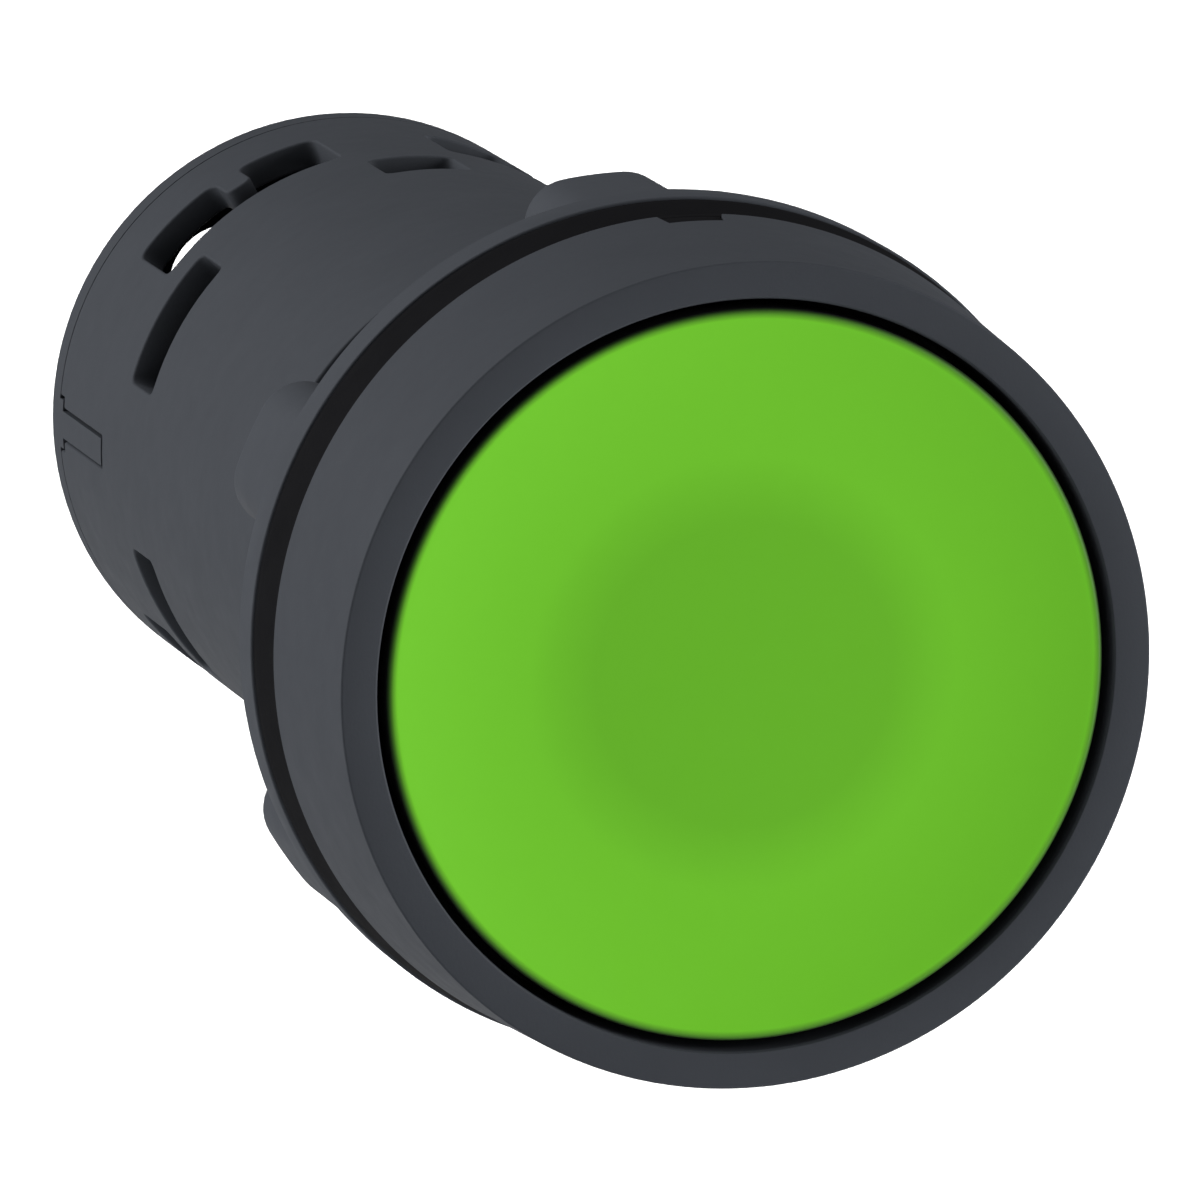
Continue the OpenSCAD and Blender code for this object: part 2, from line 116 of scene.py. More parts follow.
def soften(outline, steps=4):
    """Rounds the corners of a closed outline of (radius, ahead, rounding) points."""
    rounded = []
    count = len(outline)
    for i, (r, a, rounding) in enumerate(outline):
        corner = Vector((r, a))
        before = Vector(outline[i - 1][:2]) - corner
        after = Vector(outline[(i + 1) % count][:2]) - corner
        reach = min(rounding, 0.45 * before.length, 0.45 * after.length)
        if reach <= 0:
            rounded.append((r, a))
            continue
        start = corner + before.normalized() * reach
        end = corner + after.normalized() * reach
        for k in range(steps + 1):
            t = k / steps
            point = start * (1 - t) ** 2 + corner * 2 * t * (1 - t) + end * t * t
            rounded.append((point.x, point.y))
    return rounded


def bridge_loops(bm, loops, closed=True):
    """Joins neighbouring vertex loops with quads, and if closed the last loop with the first."""
    rows = len(loops)
    for i in range(rows if closed else rows - 1):
        here, there = loops[i], loops[(i + 1) % rows]
        for k in range(len(here)):
            n = (k + 1) % len(here)
            corners = list(dict.fromkeys([here[k], here[n], there[n], there[k]]))
            if len(corners) > 2:
                bm.faces.new(corners)


def lathe(outline, warp=None):
    """Solid of revolution about the button's axis. warp(r, degrees, ahead) changes a point's radius."""
    segments = 288
    bm = bmesh.new()
    on_axis = {}
    loops = []
    for s in range(segments):
        degrees = 360 * s / segments
        loop = []
        for k, (r, a) in enumerate(outline):
            if r < 1e-6:
                if k not in on_axis:
                    on_axis[k] = bm.verts.new(at(0, 0, a))
                loop.append(on_axis[k])
            else:
                loop.append(bm.verts.new(at(warp(r, degrees, a) if warp else r, degrees, a)))
        loops.append(loop)
    bridge_loops(bm, loops)
    return bm


def fine_steps(start, end, step):
    """Values from start to end, both included, about one step apart."""
    count = max(1, round(abs(end - start) / step))
    return [start + (end - start) * i / count for i in range(count + 1)]


# ---- Materials ----

def new_material(name, roughness, metallic=0.0, specular=0.5):
    """Material with one principled shader: itself, its nodes, its links and the shader."""
    material = bpy.data.materials.new(name)
    material.use_nodes = True
    nodes = material.node_tree.nodes
    shader = nodes["Principled BSDF"]
    shader.inputs["Roughness"].default_value = roughness
    shader.inputs["Metallic"].default_value = metallic
    shader.inputs["Specular IOR Level"].default_value = specular
    return material, nodes, material.node_tree.links, shader


def noise(nodes, links, scale, detail, stretch=None):
    """Noise over the piece's own metres, with its coordinates scaled if a stretch is given."""
    coordinates = nodes.new("ShaderNodeTexCoord")
    texture = nodes.new("ShaderNodeTexNoise")
    texture.inputs["Scale"].default_value = scale
    texture.inputs["Detail"].default_value = detail
    source = coordinates.outputs["Object"]
    if stretch:
        mapping = nodes.new("ShaderNodeMapping")
        mapping.inputs["Scale"].default_value = stretch
        links.new(source, mapping.inputs["Vector"])
        source = mapping.outputs["Vector"]
    links.new(source, texture.inputs["Vector"])
    return texture


def ramp(nodes, links, source, stops):
    """Colour ramp over a factor; stops are (position, colour)."""
    node = nodes.new("ShaderNodeValToRGB")
    elements = node.color_ramp.elements
    for index, (position, colour) in enumerate(stops):
        element = elements[index] if index < 2 else elements.new(position)
        element.position = position
        element.color = (*colour, 1)
    links.new(source, node.inputs["Fac"])
    return node.outputs["Color"]


def add_bump(nodes, links, shader, height, strength, distance):
    """Raises a shader's surface by a height from 0 to 1, over a distance in metres."""
    bump = nodes.new("ShaderNodeBump")
    bump.inputs["Strength"].default_value = strength
    bump.inputs["Distance"].default_value = distance
    links.new(height, bump.inputs["Height"])
    links.new(bump.outputs["Normal"], shader.inputs["Normal"])


def shade(colour, factor):
    """The colour made lighter or darker by a factor."""
    return tuple(c * factor for c in colour)


def uneven_colour(nodes, links, shader, colour, spread, scale):
    """Lets a shader's colour wander by a share of itself."""
    patches = noise(nodes, links, scale, 4)
    links.new(ramp(nodes, links, patches.outputs["Fac"],
                   [(0.3, shade(colour, 1 - spread)), (0.7, shade(colour, 1 + spread))]),
              shader.inputs["Base Color"])


def moulded_surface(nodes, links, shader, roughness, grain, grain_depth):
    """Slightly uneven gloss and the fine spark-eroded grain of a moulding."""
    gloss_scale, gloss_spread, grain_strength = 900, 0.05, 0.35
    gloss = noise(nodes, links, gloss_scale, 3)
    links.new(ramp(nodes, links, gloss.outputs["Fac"],
                   [(0.25, (roughness - gloss_spread,) * 3), (0.75, (roughness + gloss_spread,) * 3)]),
              shader.inputs["Roughness"])
    fine = noise(nodes, links, grain, 2)
    add_bump(nodes, links, shader, fine.outputs["Fac"], grain_strength, grain_depth)


def moulded(name, colour, roughness, grain, grain_depth, spread=0.06, specular=0.5):
    """Moulded plastic or rubber: faint flow marks, uneven gloss and fine grain."""
    material, nodes, links, shader = new_material(name, roughness, specular=specular)
    uneven_colour(nodes, links, shader, colour, spread, scale=260)
    moulded_surface(nodes, links, shader, roughness, grain, grain_depth)
    return material


def cap_with_painted_shade(name, centre, rim, edge, roughness):
    """Cap moulding: a soft black edge that is painted shadow, standing for the shade in the gap to the
    bezel on the cap's edge and side, its rim colour inside that, and a darker centre colour in the middle
    that is painted shade of the dished face.

    The gradient runs from 0 at its reach to 1 on the axis, and the ramp's stops are places on it.
    """
    # Painted shade: the black edge stands for the shadow in the gap round the cap, and the darker middle
    # green for the shade of the dished face.
    painted_shadow_r, rim_r = cap_r + 0.08, cap_r - 0.24
    rim_until, shaded_centre_from = 0.41, 0.59
    material, nodes, links, shader = new_material(name, roughness, specular=0.12)
    coordinates = nodes.new("ShaderNodeTexCoord")
    mapping = nodes.new("ShaderNodeMapping")
    reach = cap_r * MM * 1.02
    painted_shadow_until = 1 - painted_shadow_r * MM / reach
    rim_from = 1 - rim_r * MM / reach
    mapping.inputs["Scale"].default_value = (1 / reach, 0, 1 / reach)
    sphere = nodes.new("ShaderNodeTexGradient")
    sphere.gradient_type = "SPHERICAL"
    links.new(coordinates.outputs["Object"], mapping.inputs["Vector"])
    links.new(mapping.outputs["Vector"], sphere.inputs["Vector"])
    links.new(ramp(nodes, links, sphere.outputs["Fac"],
                   [(painted_shadow_until, edge), (rim_from, rim), (rim_until, rim), (shaded_centre_from, centre)]),
              shader.inputs["Base Color"])
    moulded_surface(nodes, links, shader, roughness, grain=14000, grain_depth=0.000004)
    return material


def metal(name, colour, roughness, stretch, brushed=6000):
    """Metal with a little tarnish and fine marks, drawn out into lines where the stretch is uneven."""
    material, nodes, links, shader = new_material(name, roughness, metallic=1.0)
    uneven_colour(nodes, links, shader, colour, spread=0.08, scale=1400)
    lines = noise(nodes, links, brushed, 2, stretch)
    links.new(ramp(nodes, links, lines.outputs["Fac"],
                   [(0.3, (max(roughness - 0.08, 0.05),) * 3), (0.7, (roughness + 0.1,) * 3)]),
              shader.inputs["Roughness"])
    add_bump(nodes, links, shader, lines.outputs["Fac"], 0.25, 0.00001)
    return material


DARK = (0.045, 0.0492, 0.0575)
# The cap's own green is the rim green; the darker middle green is painted shade. BLACK is the inner
# plastic's own colour, and on the cap's edge it is painted shadow.
GREEN_RIM = (0.160, 0.562, 0.023)
GREEN_PAINTED_SHADE_MIDDLE = (0.134, 0.472, 0.019)
BLACK = (0.012, 0.012, 0.013)
moulded_plastic = moulded("moulded_plastic", DARK, 0.68, 9000, 0.00001, spread=0.025, specular=0.06)
# Painted light: the dark plastic made 10% lighter for the nut, standing for the extra light that the nut
# catches.
nut_plastic_painted_light = moulded("nut_plastic_painted_light", shade(DARK, 1.1), 0.68, 9000, 0.00001, spread=0.025, specular=0.06)
# Green cap with painted shadow on its edge and painted shade in its middle.
green_plastic = cap_with_painted_shade("green_plastic", GREEN_PAINTED_SHADE_MIDDLE, GREEN_RIM, BLACK, 0.45)
inner_plastic = moulded("inner_plastic", BLACK, 0.6, 8000, 0.00001, specular=0.25)
gasket_rubber = moulded("gasket_rubber", (0.0055, 0.0055, 0.0065), 0.8, 5000, 0.00002, specular=0.03)
drawn_steel = metal("drawn_steel", (0.56, 0.57, 0.59), 0.28, (1, 1, 1))
zinc_plate = metal("zinc_plate", (0.62, 0.63, 0.62), 0.34, (1, 1, 1), brushed=9000)
rolled_brass = metal("rolled_brass", (0.78, 0.55, 0.24), 0.3, (1, 8, 1))
contact_silver = metal("contact_silver", (0.86, 0.86, 0.84), 0.38, (1, 1, 1), brushed=12000)


# ---- Head ----

def cap():
    """Green cap: face dished round a flat middle, soft edge, and the ring that clips over the plunger."""
    dish, flat_share = 0.4, 0.54
    edge_round = 0.2
    side_r = cap_r + 0.1
    ring_outer, ring_inner, ring_h = 6.5, 5.05, 1.9
    underside = cap_rear + ring_h
    edge_steps, face_steps = 4, 28
    outline = [(0, underside), (ring_inner, underside), (ring_inner, cap_rear),
               (ring_outer, cap_rear), (ring_outer, underside), (side_r, underside)]
    for k in range(edge_steps + 1):
        turn = math.radians(90 * k / edge_steps)
        outline.append((side_r - edge_round * (1 - math.cos(turn)),
                        cap_front - edge_round * (1 - math.sin(turn))))
    face_r = side_r - edge_round
    for k in range(1, face_steps + 1):
        rise = 1 - k / face_steps
        out = flat_share + (1 - flat_share) * rise
        outline.append((out * face_r, cap_front - dish * (1 - rise * rise)))
    outline.append((0, cap_front - dish))
    bm = lathe(outline)
    piece = finish_mesh("cap_moulding", bm, "pusher", green_plastic, ["push_cap"])
    even_shading(piece)


def thread_height(degrees, ahead, first, last, pitch, depth):
    """Height of a right-hand helical ridge at a point of the barrel, running out at both ends."""
    half_width, steepness, run_out = 0.5, 1.6, 0.8
    phase = ((ahead / pitch) - degrees / 360) % 1.0
    ridge = max(0.0, 1 - abs(phase - 0.5) * pitch / half_width)
    ridge = min(1.0, ridge * steepness)
    fade = min(1.0, max(0.0, (first - ahead) / run_out), max(0.0, (ahead - last) / run_out))
    return depth * ridge * fade


def head():
    """Bezel and barrel: flat front ring, conical side, helical thread and the notch at 12 o'clock."""
    cap_gap, bevel = 0.44, 0.05
    bore_r = cap_r + cap_gap
    bore_floor = gasket_front + 1.4
    barrel_r = 11.1
    thread_depth, pitch = 0.35, 1.5
    root_r = barrel_r - thread_depth
    pilot_end = -1
    thread_start = pilot_end - 0.4
    relief = housing_front + 2
    seat_r, seat = 10.2, 0.3
    tail_r, tail_bore_r = 9.7, 8.6
    bead_r = tail_r + 0.3
    bead_start, bead_front, bead_rear, bead_end = -16.8, -17.0, -17.3, -17.4
    well_r, well_floor = 9.4, -9
    web_rear = well_floor - 1.4
    guide_outer_r, guide_r = 5.9, 4.55
    guide_rear = web_rear - 3
    outline = soften([
        (bore_r + bevel, head_front, 0.05),
        (RING_R, head_front, 0.08),
        (head_r, gasket_front, 0.12),
        (barrel_r, gasket_front, 0),
        (barrel_r, pilot_end, 0.1),
    ])
    outline += [(root_r, a) for a in fine_steps(thread_start, relief + 0.1, 0.1)]
    outline += soften([
        (root_r, relief, 0.1),
        (tail_r, relief, 0.3),
        (tail_r, housing_front + seat, 0.1),
        (seat_r, housing_front + seat, 0.08),
        (seat_r, housing_front, 0.08),
        (tail_r, housing_front, 0),
        (tail_r, bead_start, 0),
        (bead_r, bead_front, 0.1),
        (bead_r, bead_rear, 0.1),
        (tail_r, bead_end, 0),
        (tail_r, barrel_rear, 0.4),
        (tail_bore_r, barrel_rear, 0.1),
        (tail_bore_r, web_rear, 0.2),
        (guide_outer_r, web_rear, 0.2),
        (guide_outer_r, guide_rear, 0.2),
        (guide_r, guide_rear, 0.1),
        (guide_r, well_floor, 0.1),
        (well_r, well_floor, 0.3),
        (well_r, bore_floor, 0.1),
        (bore_r, bore_floor, 0.1),
        (bore_r, head_front - bevel, 0.05),
    ])

    def threaded(r, degrees, ahead):
        if abs(r - root_r) > 1e-6:
            return r
        return r + thread_height(degrees, ahead, thread_start, relief + 0.2, pitch, thread_depth)

    bm = lathe(outline, warp=threaded)
    piece = finish_mesh("bezel_and_barrel", bm, "body", moulded_plastic, ["bezel_barrel"])
    cut_notch(piece)
    even_shading(piece)


def notch_point(side, radius, ahead, clearance=0.0):
    """Point across the notch at 12 o'clock, which narrows towards the front; side runs from -1 to 1."""
    share = (ahead - gasket_front) / NOTCH_H
    half = NOTCH_REAR_HALF + (NOTCH_FRONT_HALF - NOTCH_REAR_HALF) * share - clearance
    return at(radius, 90 - math.degrees(side * half / head_r), ahead)


def cut_notch(piece):
    """Cuts the small tapered notch in the bezel's rear edge at 12 o'clock."""
    low, high = gasket_front - 0.3, gasket_front + NOTCH_H
    inner, outer = NOTCH_FLOOR_R, head_r + 0.7
    bm = bmesh.new()
    corners = []
    for ahead in (low, high):
        for side, radius in ((-1, inner), (1, inner), (1, outer), (-1, outer)):
            corners.append(bm.verts.new(notch_point(side, radius, ahead)))
    for quad in ((0, 1, 2, 3), (4, 5, 6, 7), (0, 1, 5, 4), (1, 2, 6, 5), (2, 3, 7, 6), (3, 0, 4, 7)):
        bm.faces.new([corners[i] for i in quad])
    bmesh.ops.recalc_face_normals(bm, faces=bm.faces)
    mesh = bpy.data.meshes.new("notch_cutter")
    bm.to_mesh(mesh)
    bm.free()
    cutter = bpy.data.objects.new("notch_cutter", mesh)
    bpy.context.scene.collection.objects.link(cutter)
    modifier = piece.modifiers.new("notch", "BOOLEAN")
    modifier.operation = "DIFFERENCE"
    modifier.solver = "EXACT"
    modifier.object = cutter
    bake_modifiers(piece)
    bpy.data.objects.remove(cutter)


def bake_modifiers(piece):
    """Replaces a piece's mesh by its evaluated one and drops the modifiers."""
    bpy.context.view_layer.update()
    evaluated = piece.evaluated_get(bpy.context.evaluated_depsgraph_get())
    mesh = bpy.data.meshes.new_from_object(evaluated)
    piece.modifiers.clear()
    piece.data = mesh
    bm = bmesh.new()
    bm.from_mesh(mesh)
    mark_sharp(bm, SHARP)
    bm.to_mesh(mesh)
    bm.free()


def gasket_tab(bm, front_r):
    """Adds the gasket's tab, which fills the bezel's notch and lies just below its conical side."""
    sunk, below_side = 0.15, 0.02
    taper = (head_r - RING_R) / (head_front - gasket_front)
    low = gasket_front - sunk
    high = gasket_front + NOTCH_H - TAB_GAP
    outer_low = front_r - below_side
    outer_high = outer_low - taper * NOTCH_H
    inner = NOTCH_FLOOR_R + TAB_GAP
    loops = []
    for side in fine_steps(-1, 1, 0.25):
        section = [(outer_low, low), (outer_low, gasket_front), (outer_high, high),
                   (inner, high), (inner, low)]
        loops.append([bm.verts.new(notch_point(side, r, ahead, TAB_GAP)) for r, ahead in section])
    bridge_loops(bm, loops, closed=False)
    bm.faces.new(loops[0])
    bm.faces.new(loops[-1])


def gasket():
    """Panel gasket: rubber ring that flares towards the panel, with a tab in the bezel's notch."""
    inner_r = 11.15
    front_r = head_r - 0.1
    lip = 0.3
    outline = soften([
        (inner_r, 0.0, 0),
        (gasket_r, 0.0, 0.06),
        (gasket_r, lip, 0.15),
        (front_r, gasket_front - lip, 0.15),
        (front_r, gasket_front, 0.08),
        (inner_r, gasket_front, 0),
    ])
    bm = lathe(outline)
    gasket_tab(bm, front_r)
    piece = finish_mesh("gasket_ring", bm, "body", gasket_rubber, ["panel_gasket"])
    even_shading(piece)


# ---- Fixing nut ----

NUT_CORE_R = 12.3
LOBES, LOBE_FIRST, LOBE_CREST_HALF = 6, 94.8, 4.2
LOBE_FLANK_R, LOBE_ROOT_R = 1.6, 0.5


def lobe_half(crest_r):
    """Half a lobe's outline, from its crest to midway to the next lobe: points in mm, outward normals."""
    half = math.radians(LOBE_CREST_HALF)
    along = Vector((math.cos(half), math.sin(half)))
    across = Vector((-math.sin(half), math.cos(half)))
    points = []
    for t in fine_steps(0, half, math.radians(1.2))[:-1]:
        normal = Vector((math.cos(t), math.sin(t)))
        points.append((normal * crest_r, normal))
    centre = along * (crest_r - LOBE_FLANK_R)
    for t in fine_steps(0, math.pi / 2, math.radians(9)):
        normal = along * math.cos(t) + across * math.sin(t)
        points.append((centre + normal * LOBE_FLANK_R, normal))
    reach = NUT_CORE_R + LOBE_ROOT_R
    offset = LOBE_FLANK_R + LOBE_ROOT_R
    root = along * math.sqrt(reach ** 2 - offset ** 2) + across * offset
    swing = math.pi / 2 - math.asin(offset / reach)
    for t in fine_steps(0, swing, math.radians(12)):
        normal = across * math.cos(t) + along * math.sin(t)
        points.append((root - normal * LOBE_ROOT_R, normal))
    last = math.atan2(root.y, root.x)
    for t in fine_steps(last, math.pi / LOBES, math.radians(2))[1:]:
        normal = Vector((math.cos(t), math.sin(t)))
        points.append((normal * NUT_CORE_R, normal))
    return points


def nut_outline(crest_r):
    """Closed outline of core and lobes as (point, normal), seen from the front, from the first lobe on."""
    half = lobe_half(crest_r)
    mirrored = [(Vector((p.x, -p.y)), Vector((n.x, -n.y))) for p, n in reversed(half[1:])]
    outline = []
    for k in range(LOBES):
        turn = Matrix.Rotation(math.radians(LOBE_FIRST + 360 / LOBES * k), 2)
        outline += [(turn @ p, turn @ n) for p, n in mirrored + half[:-1]]
    return outline


def edge_inset(distance, rounding):
    """How far a rounded edge has drawn in at a distance from the end face."""
    if distance >= rounding:
        return 0
    return rounding - math.sqrt(rounding ** 2 - (rounding - distance) ** 2)


def nut():
    """Fixing nut: thin round flange, threaded core and six grip lobes with round flanks."""
    bore_r = 11.15
    flange_t, flange_round = 1.6, 0.08
    crest_round, core_round = 0.6, 0.25
    length = -nut_rear
    chamfer = 0.3
    quarter = [math.pi / 6 * k for k in range(4)]
    crest_turns = fine_steps(0, math.pi / 2, math.pi / 16)[1:]
    depths = fine_steps(flange_t, length - crest_round, 1.2)
    depths += [length - crest_round * (1 - math.sin(turn)) for turn in crest_turns]
    bm = bmesh.new()
    loops = []
    for point, normal in nut_outline(nut_r):
        away = point.normalized()
        height = (point.length - NUT_CORE_R) / (nut_r - NUT_CORE_R)
        rounding = core_round + (crest_round - core_round) * min(1, max(0, height * 2))
        column = [(away * (bore_r + chamfer), 0), (away * (nut_r - flange_round), 0)]
        for turn in quarter[1:]:
            inset = flange_round * (1 - math.sin(turn))
            column.append((away * (nut_r - inset), -flange_round * (1 - math.cos(turn))))
        # A crest is flush with the flange, so the flange's rear edge loses its rounding there
        blend = 1 - min(1, max(0, height * 4 - 3))
        for turn in quarter:
            inset = blend * flange_round * (1 - math.cos(turn))
            column.append((away * (nut_r - inset), -flange_t + flange_round * (1 - math.sin(turn))))
        for depth in depths:
            inset = edge_inset(length - depth, rounding)
            column.append((point - normal * inset, -depth))
        column.append((away * (bore_r + chamfer), -length))
        column.append((away * bore_r, -length + chamfer))
        column.append((away * bore_r, -chamfer))
        loops.append([bm.verts.new(Vector((p.x, -ahead, p.y)) * MM) for p, ahead in column])
    bridge_loops(bm, loops)
    piece = finish_mesh("nut_moulding", bm, "nut", nut_plastic_painted_light, ["fixing_nut"], sharp=50)
    even_shading(piece)


# ---- Housing: angles in degrees from the horizontal, depths in mm behind the panel ----

WALL = 1.0
RIM = 0.09
FRONT_ROW = (31.1, 34.0)
REAR_ROW = (35.6, 39.7)
NECK_REAR = 37.65
TOP_WINDOW = 81.7
SIDE_WINDOW = (16.4, 44.5)
WIRE_WINDOW = (37.6, 57.4)
CORE_WINDOW = (63.1, 79.0)
LATCH_FRONT, LATCH_HALF = 36.68, 3.25
ROOT_FRONT, ROOT_HALF = 42.38, 5.4
GROOVE = (16.75, 17.45)
GROOVE_R = 10.05
STOP_RING = (28.18, 29.38)
STOP_RING_R = 9.25


def rounded_path(corners):
    """Polyline in the unrolled wall, in (arc length, depth) mm, from (degrees, depth, rounding) corners."""
    flat = [(math.radians(d) * housing_r, depth, rounding) for d, depth, rounding in corners]
    return [Vector(p) for p in soften(flat, 6)]


def subdivided(path, closed, step=0.5):
    """The same polyline with no straight part longer than a step."""
    points = []
    ends = path[1:] + path[:1] if closed else path[1:]
    for a, b in zip(path, ends):
        count = max(1, math.ceil((b - a).length / step))
        points += [a.lerp(b, i / count) for i in range(count)]
    return points if closed else points + [path[-1]]


def side_normals(path, closed):
    """Unit vectors to the left of the polyline, averaged at its points. The wall lies on the left."""
    count = len(path)
    normals = []
    for i in range(count):
        before = path[i] - path[i - 1] if closed or i > 0 else path[1] - path[0]
        after = path[(i + 1) % count] - path[i] if closed or i < count - 1 else path[-1] - path[-2]
        tangent = before.normalized() + after.normalized()
        normals.append(Vector((-tangent.y, tangent.x)).normalized())
    return normals


def wall_rims():
    """Rims of the wall's first quadrant, right to top, with the wall on their left: (points, closed) pairs.

    The first three make up the outline, in order; the others are windows.
    """
    front, rear = -housing_front, -housing_rear
    tight, wide, latch = 0.4, 0.5, 0.12
    outline = [
        [(0, front, 0), (90, front, 0)],
        [(90, FRONT_ROW[0], 0), (TOP_WINDOW, FRONT_ROW[0], tight), (TOP_WINDOW, FRONT_ROW[1], tight),
         (90, FRONT_ROW[1], 0)],
        [(90, rear, 0), (ROOT_HALF, rear, latch), (ROOT_HALF, ROOT_FRONT, latch),
         (LATCH_HALF, ROOT_FRONT, latch), (LATCH_HALF, LATCH_FRONT, latch), (0, LATCH_FRONT, 0)],
    ]
    holes = [
        [(SIDE_WINDOW[0], FRONT_ROW[0], tight), (SIDE_WINDOW[0], FRONT_ROW[1], tight),
         (SIDE_WINDOW[1], FRONT_ROW[1], tight), (SIDE_WINDOW[1], FRONT_ROW[0], tight)],
        [(WIRE_WINDOW[0], REAR_ROW[0], wide), (WIRE_WINDOW[0], REAR_ROW[1], wide),
         (WIRE_WINDOW[1], REAR_ROW[1], wide), (WIRE_WINDOW[1], NECK_REAR, wide),
         (CORE_WINDOW[0], NECK_REAR, wide), (CORE_WINDOW[0], REAR_ROW[1], wide),
         (CORE_WINDOW[1], REAR_ROW[1], wide), (CORE_WINDOW[1], REAR_ROW[0], wide)],
    ]
    rims = [(subdivided(rounded_path(corners), False), False) for corners in outline]
    return rims + [(subdivided(rounded_path(corners), True), True) for corners in holes]


def inside(point, polygon):
    """Even-odd test of a point in a closed polygon."""
    hit = False
    for a, b in zip(polygon, polygon[1:] + polygon[:1]):
        if (a.y > point.y) != (b.y > point.y):
            if point.x < (b.x - a.x) * (point.y - a.y) / (b.y - a.y) + a.x:
                hit = not hit
    return hit


def wall_triangles(lines):
    """Fine triangles of the unrolled quadrant between the rims' inset lines: points and index triples."""
    points = [p for line in lines for p in line]
    starts = [sum(len(line) for line in lines[:i]) for i in range(len(lines))]
    edges = []
    for i, line in enumerate(lines):
        steps = len(line) if i > 2 else len(line) - 1
        edges += [(starts[i] + k, starts[i] + (k + 1) % len(line)) for k in range(steps)]
    edges += [(starts[1] - 1, starts[1]), (starts[2] - 1, starts[2]), (starts[2] + len(lines[2]) - 1, 0)]
    outer = lines[0] + lines[1] + lines[2]
    width = math.pi / 2 * housing_r
    column_step, row_step = 0.28, 0.9
    groove_clear, groove_wall, rim_clear = 0.3, 0.02, 0.22
    nudge = 0.001
    rows = fine_steps(-housing_front + 0.4, -housing_rear - 0.3, row_step)
    rows = [y for y in rows if not GROOVE[0] - groove_clear < y < GROOVE[1] + groove_clear]
    rows += [GROOVE[0] - groove_wall, GROOVE[0], GROOVE[1], GROOVE[1] + groove_wall]
    grid = []
    for x in fine_steps(0, width, column_step):
        for y in rows:
            point = Vector((x, y))
            probe = Vector((min(max(x, nudge), width - nudge), y))
            if not inside(probe, outer) or any(inside(probe, hole) for hole in lines[3:]):
                continue
            if all((point - p).length > rim_clear for p in points):
                grid.append(point)
    found, _, faces, *_ = geometry.delaunay_2d_cdt(points + grid, edges, [], 0, 1e-6, False)
    kept = []
    for face in faces:
        middle = sum((found[i] for i in face), Vector((0, 0))) / 3
        if inside(middle, outer) and not any(inside(middle, hole) for hole in lines[3:]):
            kept.append(face)
    return found, kept


def on_wall(point, radius, flip_x, flip_z):
    """Rolls a point of the unrolled quadrant onto a radius, in one of the four quadrants."""
    rolled = at(radius, math.degrees(point.x / housing_r), -point.y)
    return Vector((rolled.x * flip_x, rolled.y, rolled.z * flip_z))


def inner_wall_r(depth):
    """Inner radius of the wall, with the groove that the barrel's snap bead holds in."""
    slack = 0.01
    return GROOVE_R if GROOVE[0] - slack < depth < GROOVE[1] + slack else housing_r - WALL


def rim_profile(point, normal):
    """Section through a rim, from the outer to the inner face: (unrolled point, radius) pairs."""
    inner_r = housing_r - WALL
    cut = RIM * (1 - math.sqrt(0.5))
    return [(point + normal * RIM, housing_r), (point + normal * cut, housing_r - cut),
            (point, housing_r - RIM), (point, inner_r + RIM),
            (point + normal * cut, inner_r + cut), (point + normal * RIM, inner_r)]


def add_ring(bm, outline):
    """Adds a closed ring of revolution to a mesh."""
    segments = 144
    loops = [[bm.verts.new(at(r, 360 * s / segments, a)) for r, a in outline] for s in range(segments)]
    bridge_loops(bm, loops)


def true_normals(mesh, radii):
    """Makes the shading of a mesh exactly round wherever its points lie on one of the radii.

    Each radius comes with 1 if it faces outwards and -1 if it faces inwards.
    """
    near = 0.002 * MM
    normals = []
    for vertex in mesh.vertices:
        radial = Vector((vertex.co.x, 0, vertex.co.z))
        normal = vertex.normal.copy()
        for radius, sign in radii:
            if abs(radial.length - radius * MM) < near:
                normal = radial.normalized() * sign
        normals.append(normal)
    mesh.normals_split_custom_set_from_vertices(normals)


def housing_shell():
    """Tube with rounded windows, every rim softened, and the ring that the contact block rests on."""
    inner_r = housing_r - WALL
    ring_outer_r = inner_r + 0.03
    merge_distance = 0.0005 * MM
    rims = [(path, closed, side_normals(path, closed)) for path, closed in wall_rims()]
    lines = [[p + n * RIM for p, n in zip(path, normals)] for path, _, normals in rims]
    points, faces = wall_triangles(lines)
    bm = bmesh.new()
    for flip_x, flip_z in ((1, 1), (-1, 1), (-1, -1), (1, -1)):
        outer = [bm.verts.new(on_wall(p, housing_r, flip_x, flip_z)) for p in points]
        inner = [bm.verts.new(on_wall(p, inner_wall_r(p.y), flip_x, flip_z)) for p in points]
        for face in faces:
            bm.faces.new([outer[i] for i in face])
            bm.faces.new([inner[i] for i in reversed(face)])
        for path, closed, normals in rims:
            sections = [[bm.verts.new(on_wall(q, r, flip_x, flip_z)) for q, r in rim_profile(p, n)]
                        for p, n in zip(path, normals)]
            pairs = list(zip(sections, sections[1:] + sections[:1]))
            for here, there in pairs if closed else pairs[:-1]:
                for k in range(len(here) - 1):
                    bm.faces.new((here[k], there[k], there[k + 1], here[k + 1]))
    bmesh.ops.remove_doubles(bm, verts=bm.verts, dist=merge_distance)
    add_ring(bm, [(ring_outer_r, -STOP_RING[0]), (ring_outer_r, -STOP_RING[1]),
                  (STOP_RING_R, -STOP_RING[1]), (STOP_RING_R, -STOP_RING[0])])
    piece = finish_mesh("housing_shell", bm, "body", moulded_plastic, ["housing"], 60)
    true_normals(piece.data, [(housing_r, 1), (inner_r, -1)])


# ---- Springs ----

